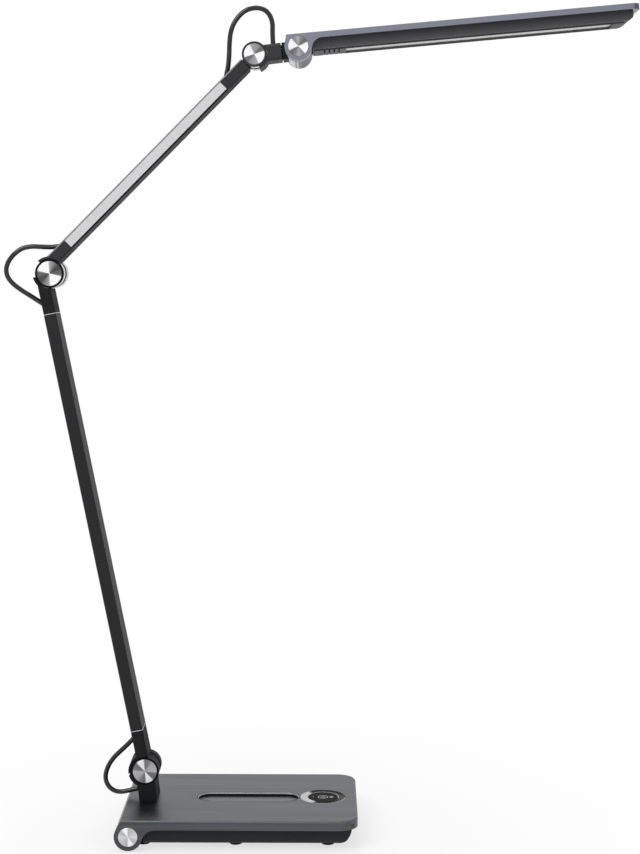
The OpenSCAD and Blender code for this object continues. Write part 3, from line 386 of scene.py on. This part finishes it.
# powder coat on cast zinc: near black, with a soft sheen
BLACK_PAINT = painted("black_powder_coat", "#232427")
# moulded black nylon: the matt ends of the tubes, and a lighter copy of it, with painted light, for
# the upper arm's ends
BLACK_NYLON = moulded("black_nylon", "#242427", 0.6, 0.04)
BLACK_NYLON_PAINTED_LIGHT = moulded("black_nylon_painted_light", "#3a3a3e", 0.6, 0.02)
# smoother nylon round the discs: the blackest lines of the lamp
BLACK_BEZEL = moulded("black_nylon_bezel", "#121214", 0.4, 0.06)
# tumbled aluminium: the pale, silky cheeks of the forks
CHEEKS = satin("tumbled_aluminium", "#cfcfcc", 0.3, 0.9)
# zinc plate: dull silver bolts and washers
ZINC = satin("zinc_plated_steel", "#b4b6b8")
# ABS of the lamp's housing: dark grey, with painted shade that darkens it close under the plate
HOUSING = shadowed("grey_abs_painted_shade", "#535357", PLATE_UNDERSIDE, HEAD_UP, 8.0, 0.3)
# aluminium polished round the head joint: a painted highlight on the left of its underside, painted
# shade on the right
SLEEVE_PAINTED_HIGHLIGHT = turned("polished_sleeve_painted_highlight", HEAD, [
    (0, 50), (120, 220), (200, 244), (252, 246), (259, 130), (267, 232), (273, 66), (281, 110),
    (290, 26), (330, 22), (360, 50)], 1, tint=0.3)
FINISHES = {
    # brushed aluminium: slate grey plate, and a paler floor in the pen slot
    "base_cover": brushed_plate("brushed_gunmetal", "#505358"),
    "slot_floor": brushed_plate("brushed_slot_floor", "#6c6e72"),
    # moulded ABS and rubber: a matt, near black foot to the plate
    "base_tray": moulded("black_abs", "#2d2e31"),
    "rubber_feet": moulded("rubber", "#131314", 0.6),
    # glass backed with black: deep and smooth, with hardly a reflection
    "touch_glass": Finish("black_glass", "#09090b", 0.2, Specular_IOR_Level=0.01).material,
    # inside the base: dull steel, green circuit board, black nylon socket
    "ballast_plate": satin("raw_steel", "#6d6f72", 0.5),
    "control_board": moulded("circuit_board", "#14502b"),
    "dc_inlet": moulded("socket_nylon", "#141416", 0.3),
    # anodised aluminium: near black tubes, bright panels, a violet grey head plate
    "lower_arm_tube": drawn("anodised_dark", "#28282a", LOWER_TURN, 0.5, tint=0.45),
    "upper_arm_tube": drawn("anodised_black", "#232326", UPPER_TURN, 0.6, 0.2, tint=0.08),
    "upper_arm_panels": drawn("bright_aluminium", "#cfcfd2", UPPER_TURN, 0.5, 0.4, 0.05),
    "head_plate": drawn("satin_violet_aluminium", "#7f828f", HEAD_TURN, 0.4, 0.7, 0.03),
    # black powder coat and nylon of the wrist, with painted light: a step lighter than the joints
    # below
    "link_body": painted("black_powder_coat_painted_light", "#3f3f43"),
    "wrist_bezels": moulded("black_nylon_painted_light_bezel", "#3c3c3e", 0.4, 0.06),
    "head_housing": HOUSING,
    "light_frame": HOUSING,
    "head_screws": moulded("blackened_steel_screw", "#141416", 0.35),
    # the light panel: warm white boards and clear guide behind an even, milky cover
    "led_strips": moulded("white_solder_mask", "#d9d9cf"),
    "diffuser": moulded("opal_acrylic", "#e2e2de", 0.4, cloud=0.01),
    "light_guide": moulded("clear_acrylic", "#e6eaec", 0.2, cloud=0.01),
    "reflector": moulded("white_film", "#eeeeee", cloud=0.01),
    # turned aluminium: discs and ring, with wedges of painted highlight and painted shade
    "neck_sleeve": SLEEVE_PAINTED_HIGHLIGHT,
    "base_end_discs": turned("turned_lobe_disc_painted_highlights", ROLL, [
        (0, 222), (40, 202), (84, 186), (93, 232), (98, 250), (124, 250), (132, 205), (145, 186),
        (180, 222)]),
    "base_joint_discs": turned("turned_foot_disc_painted_highlights", FOOT, [
        (0, 190), (50, 172), (60, 136), (90, 114), (99, 244), (128, 252), (137, 130), (146, 108),
        (170, 125), (178, 186)]),
    "elbow_discs": turned("turned_elbow_disc_painted_highlights", ELBOW, [
        (0, 94), (14, 92), (24, 64), (46, 70), (60, 116), (88, 166), (97, 248), (162, 252),
        (172, 110), (180, 94)]),
    "wrist_discs": turned("turned_wrist_disc_painted_highlights", WRIST, [
        (0, 252), (14, 246), (22, 104), (44, 104), (60, 140), (110, 164), (122, 246), (180, 252)]),
    "head_discs": turned("turned_head_disc_painted_highlights", HEAD, [
        (0, 248), (20, 240), (30, 108), (50, 106), (72, 134), (96, 172), (120, 132), (128, 140),
        (140, 246), (180, 250)]),
    "touch_ring": turned("turned_touch_ring_painted_highlights", middle("touch_ring"), [
        (0, 36), (60, 30), (122, 36), (134, 204), (222, 214), (236, 190), (244, 36), (300, 30),
        (360, 36)], 1, "Y", 0.05),
}
for finish, names in (
    (BLACK_PAINT, ("post", "neck", "swivel_washer")),
    (BLACK_NYLON, ("lower_arm_foot_cap", "lower_arm_elbow_cap")),
    (BLACK_NYLON_PAINTED_LIGHT, ("upper_arm_elbow_cap", "upper_arm_wrist_cap")),
    (BLACK_BEZEL, ("base_joint_bezels", "elbow_bezels")),
    (CHEEKS, ("elbow_cheeks", "wrist_cheeks")),
    (ZINC, ("base_screws", "post_screws", "base_joint_bolt", "elbow_bolt", "wrist_bolt",
            "head_bolt", "base_joint_washers", "elbow_washers", "wrist_washers",
            "head_washers", "swivel_shaft")),
):
    FINISHES.update(dict.fromkeys(names, finish))
for name, finish in FINISHES.items():
    NODES[name].data.materials.clear()
    NODES[name].data.materials.append(finish)


def second_finish(name, finish, chosen):
    """A second finish on the faces of a node that chosen(middles, normals) picks, of all its faces
    at once, in metres."""
    mesh = NODES[name].data
    mesh.materials.append(finish)
    count = len(mesh.polygons)
    middles, normals = np.empty(3 * count), np.empty(3 * count)
    mesh.polygons.foreach_get("center", middles)
    mesh.polygons.foreach_get("normal", normals)
    index = np.zeros(count, dtype=np.int32)
    mesh.polygons.foreach_get("material_index", index)
    index[chosen(middles.reshape(-1, 3), normals.reshape(-1, 3))] = len(mesh.materials) - 1
    mesh.polygons.foreach_set("material_index", index)


def leaning(part):
    """True where the part of a normal along an axis is a bevel's, neither face on nor edge on."""
    return (part > 0.3) & (part < 0.95)


SLOT_LOW, SLOT_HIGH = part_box("slot_floor")
FLANGE = 2.0 * MM  # how far the slot's floor reaches under the plate
SLOT_HALF = (SLOT_HIGH[1] - SLOT_LOW[1]) / 2 - FLANGE  # half the width of the slot
SLOT_RUN = (SLOT_HIGH[0] - SLOT_LOW[0]) / 2 - FLANGE - SLOT_HALF  # half of its straight length
COVER_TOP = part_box("base_cover")[1][2]
BEVEL = 1.25 * MM  # depth within which the plate's bevels lie
FAR_LOBE = 17.55 * MM  # reach of the lobe and its fillet from the head joint
PLATE_END = 100 * MM  # past this, a face that looks along the plate is at its far end


def in_slot(middles, grow):
    """True within the pen slot's outline, grown by grow metres: the distance from its straight
    middle line is under half its width."""
    x = np.abs(middles[:, 0] - (SLOT_LOW[0] + SLOT_HIGH[0]) / 2)
    return np.hypot(np.maximum(x - SLOT_RUN, 0), middles[:, 1]) < SLOT_HALF + grow


def in_far_lobe(middles):
    """True near the head joint, in the X-Z plane, on the far side of the plate."""
    near = np.hypot(middles[:, 0] - HEAD.x, middles[:, 2] - HEAD.z) < FAR_LOBE
    return near & (middles[:, 1] > 0)


def past_plate_end(middles):
    """True where the distance along the plate from the head joint is past PLATE_END."""
    return (middles - np.array(HEAD)) @ np.array(HEAD_ALONG) > PLATE_END


# milled edges of the tinted plate: a thin line, a little lighter than the plate
second_finish("base_cover", satin("milled_edge", "#5b5e63", 0.42), lambda m, n:
              leaning(n[:, 2]) & (m[:, 2] > COVER_TOP - BEVEL))
# milled and bare round the slot, with its wall painted near black as painted shadow
second_finish("base_cover", satin("milled_slot_edge", "#84868a", 0.3), lambda m, n:
              leaning(n[:, 2]) & in_slot(m, BEVEL))
second_finish("base_cover", moulded("slot_wall_painted_shadow", "#0c0d10"), lambda m, n:
              in_slot(m, 0.3 * MM) & (np.abs(n[:, 2]) < 0.3) & (m[:, 2] < COVER_TOP))
# the rim of the head's far lobe, but for its ends and its top, takes the sleeve's finish, with its
# painted highlight and painted shade
second_finish("head_plate", SLEEVE_PAINTED_HIGHLIGHT, lambda m, n:
              in_far_lobe(m) & (np.abs(n[:, 1]) < 0.5) & (n[:, 2] < 0.2))
# the sawn far end of the head plate: painted shade, darker than its faces
second_finish("head_plate", satin("plate_end_painted_shade", "#54565c", 0.4, 0.8), lambda m, n:
              past_plate_end(m) & (n @ np.array(HEAD_ALONG) > 0.35))
# upper corners of the upper arm: a painted highlight on the bevels that face up and to the left
CORNER_HIGHLIGHT = satin("corner_painted_highlight", "#8c8c90", 0.3, 0.8)
for name in ("upper_arm_tube", "upper_arm_elbow_cap", "upper_arm_wrist_cap"):
    second_finish(name, CORNER_HIGHLIGHT, lambda m, n:
                  leaning(np.abs(n[:, 1])) & (n[:, 2] > 0.3) & (n[:, 0] < -0.3))


# ---------------------------------------------------------------- touch symbols and marks

def arc(outer, inner, start=0.0, end=360.0, x=0.0, y=0.0, steps=48):
    """Flat part of a ring in mm: r (cos a, sin a) about (x, y), a from start to end degrees and r
    from inner to outer."""
    a, r = np.meshgrid(np.radians(np.linspace(start, end, steps + 1)), (inner, outer),
                       indexing="ij")
    return np.stack([x + r * np.cos(a), y + r * np.sin(a)], axis=-1)


def stroke(length, width, turn=0.0, x=0.0, y=0.0):
    """Flat bar in mm: (u, v) within length and width, turned by turn degrees about (x, y)."""
    u, v = np.meshgrid((-length / 2, length / 2), (-width / 2, width / 2))
    c, s = math.cos(math.radians(turn)), math.sin(math.radians(turn))
    return np.stack([x + u * c - v * s, y + u * s + v * c], axis=-1)


def racetrack(run, outer, inner, steps=72):
    """Flat band in mm round a slot: (r cos a +- run, r sin a), a all the way round and r from
    inner to outer."""
    a, r = np.meshgrid(np.radians(np.linspace(-90, 270, steps + 1)), (inner, outer),
                       indexing="ij")
    side = np.where(np.arange(steps + 1) <= steps // 2, 1.0, -1.0)[:, None]
    return np.stack([side * run + r * np.cos(a), r * np.sin(a)], axis=-1)


PRINT_WALL = 0.03 * MM  # thickness of a print or mark
PRINT_PROUD = 0.04 * MM  # height of its top over the face that it lies on


def printed(name, shapes, node, top, material):
    """Flat shapes in mm laid on the base over the middle of a node: their (x, y) from there, at
    the height top in metres."""
    centre = middle(node)
    grids = [np.concatenate([s * MM + (centre.x, centre.y), np.full_like(s[..., :1], top)],
                            axis=-1) for s in shapes]
    return thicken(surface(name, grids, material), PRINT_WALL, "base")


# screen print on the glass: matt, light grey
PRINT = Finish("screen_print", "#c9cbd0", 0.5, edge=0.0).material
# bare aluminium where it is cut: a thin bright line, partly its own colour and partly a painted
# highlight
BARE_METAL_HIGHLIGHT = satin("bare_aluminium_painted_highlight", "#c4c4c8", 0.3, 0.5)
# painted shadow round the slot: a thin dark line
GROOVE_SHADOW = moulded("groove_painted_shadow", "#1c1d20")

# a power switch in a ring, a dash to dim the light and a sun to brighten it
switch = [arc(2.2, 1.6, 125, 415), stroke(2.0, 0.6, 90, 0, 2.0), arc(4.9, 4.4)]
dimmer = [stroke(1.4, 0.5, 0, -9.4)]
SUN_X, RAY_FROM_SUN = 8.2, 2.0
sun = [arc(1.1, 0.0, x=SUN_X)] + [
    stroke(0.9, 0.45, a, SUN_X + RAY_FROM_SUN * math.cos(math.radians(a)),
           RAY_FROM_SUN * math.sin(math.radians(a))) for a in range(0, 360, 45)]
printed("touch_symbols", switch + dimmer + sun, "touch_glass",
        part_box("touch_glass")[1][2] + PRINT_PROUD, PRINT)

# painted highlights on the turned edges of the touch ring: part of its outer rim, and part of its
# inner one
ring_edges = printed("touch_ring_edge_highlights", [arc(21.7, 21.1, 250, 352), arc(15.3, 14.7, -12, 128)],
                     "touch_ring", COVER_TOP + PRINT_PROUD, BARE_METAL_HIGHLIGHT)

# painted shadow line round the slot: 0.6 mm wide, 1.3 mm out from the slot's wall
GROOVE_FROM, GROOVE_TO = SLOT_HALF / MM + 1.3, SLOT_HALF / MM + 1.9
gap = printed("slot_gap", [racetrack(SLOT_RUN / MM, GROOVE_TO, GROOVE_FROM)], "slot_floor",
              COVER_TOP + PRINT_WALL, GROOVE_SHADOW)


def sawn_edge_highlight(name, reach):
    """Bare cut end of the lower arm's tube at a seam, a bright band that is partly its own colour
    and
    partly a painted highlight: the tube's bevelled outline, 0.6 mm long and 0.04 mm proud, at reach
    mm from the base joint along the tube."""
    half_y, half_z, bevel, proud, half_length = 15.0, 5.75, 1.2, 0.04, 0.3
    y = np.array([-1, 1, 1, 1, 1, -1, -1, -1, -1]) * (half_y + proud)
    z = np.array([-1, -1, -1, 1, 1, 1, 1, -1, -1]) * (half_z + proud)
    y += np.array([1, -1, 0, 0, -1, 1, 0, 0, 1]) * bevel
    z += np.array([0, 0, 1, -1, 0, 0, -1, 1, 0]) * bevel
    x, _ = np.meshgrid((reach - half_length, reach + half_length), y, indexing="ij")
    c, s = math.cos(math.radians(-LOWER_TURN)), math.sin(math.radians(-LOWER_TURN))
    grid = np.stack([FOOT.x + (x * c - z * s) * MM, np.broadcast_to(y * MM, x.shape),
                     FOOT.z + (x * s + z * c) * MM], axis=-1)
    return thicken(close_seams(surface(name, [grid], BARE_METAL_HIGHLIGHT)), 0.3 * MM, "lower_arm")


for name, reach in (("foot_seam", 40.0), ("elbow_seam", 445.5)):
    sawn_edge_highlight(name, reach)


# ---------------------------------------------------------------- stage and light

def seeing(tree):
    """1 for the rays that see the surround, straight or in metal and glass, otherwise 0."""
    rays = add(tree, "ShaderNodeLightPath").outputs
    share = rays["Is Camera Ray"]
    for kind in ("Is Glossy Ray", "Is Transmission Ray"):
        share = add(tree, "ShaderNodeMath", {0: share, 1: rays[kind]},
                    operation="MAXIMUM").outputs[0]
    return share


def make_world(front, back):
    """White surround, seen as white and so shown in metal and glass, which lights the lamp less
    from the front than from behind."""
    world = bpy.data.worlds.new("world")
    bpy.context.scene.world = world
    world.use_nodes = True
    tree = world.node_tree
    place = add(tree, "ShaderNodeTexCoord").outputs["Generated"]
    axes = add(tree, "ShaderNodeSeparateXYZ", {0: place}).outputs
    level = add(tree, "ShaderNodeMapRange", {"Value": axes["Y"], "From Min": -0.6, "From Max": 0.6,
                "To Min": front, "To Max": back}).outputs[0]
    strength = add(tree, "ShaderNodeMix", {"Factor": seeing(tree), "A": level, "B": 1.0}).outputs[0]
    tree.links.new(strength, tree.nodes["Background"].inputs["Strength"])
    tree.nodes["Background"].inputs["Color"].default_value = (1, 1, 1, 1)


def make_floor():
    """Pale floor, 12 m across, that is seen as white: all of it from 0.45 m out and 0.7 of it
    within 0.15 m, so that a part of the shadow shows close to the lamp."""
    f = Finish("pale_floor", "#f2f2f2", 0.9, edge=0.0)
    distance = add(f.tree, "ShaderNodeVectorMath", {0: f.place}, operation="LENGTH")
    far = add(f.tree, "ShaderNodeMapRange", {"Value": distance.outputs["Value"], "From Min": 0.15,
              "From Max": 0.45, "To Min": 0.7, "To Max": 1.0}).outputs[0]
    share = add(f.tree, "ShaderNodeMath", {0: far, 1: seeing(f.tree)},
                operation="MULTIPLY").outputs[0]
    white = add(f.tree, "ShaderNodeEmission", {"Color": (1, 1, 1, 1), "Strength": 1.0})
    mix = add(f.tree, "ShaderNodeMixShader", {0: share, 1: f.shader.outputs[0],
              2: white.outputs[0]})
    f.tree.links.new(mix.outputs[0], f.tree.nodes["Material Output"].inputs["Surface"])
    side = np.array((-6.0, 6.0))
    x, y = np.meshgrid(side, side)
    surface("floor", [np.stack([x, y, 0 * x], axis=-1)], f.material)


def make_lamp(name, place, aim, size, power):
    """Round soft light at a place in metres, turned to aim, size metres across, power in watts."""
    light = bpy.data.lights.new(name, "AREA")
    light.shape = "DISK"
    light.size = size
    light.energy = power
    lamp = bpy.data.objects.new(name, light)
    bpy.context.scene.collection.objects.link(lamp)
    lamp.location = place
    lamp.rotation_euler = (Vector(aim) - Vector(place)).to_track_quat("-Z", "Y").to_euler()


make_world(0.5, 0.8)
make_floor()
make_lamp("key", (-1.2, -1.6, 2.2), (0, 0, 0.4), 1.4, 30.0)
make_lamp("top", (0.1, 0.4, 2.4), (0.1, 0, 0.3), 1.2, 8.0)
bpy.context.scene.view_settings.view_transform = "Standard"
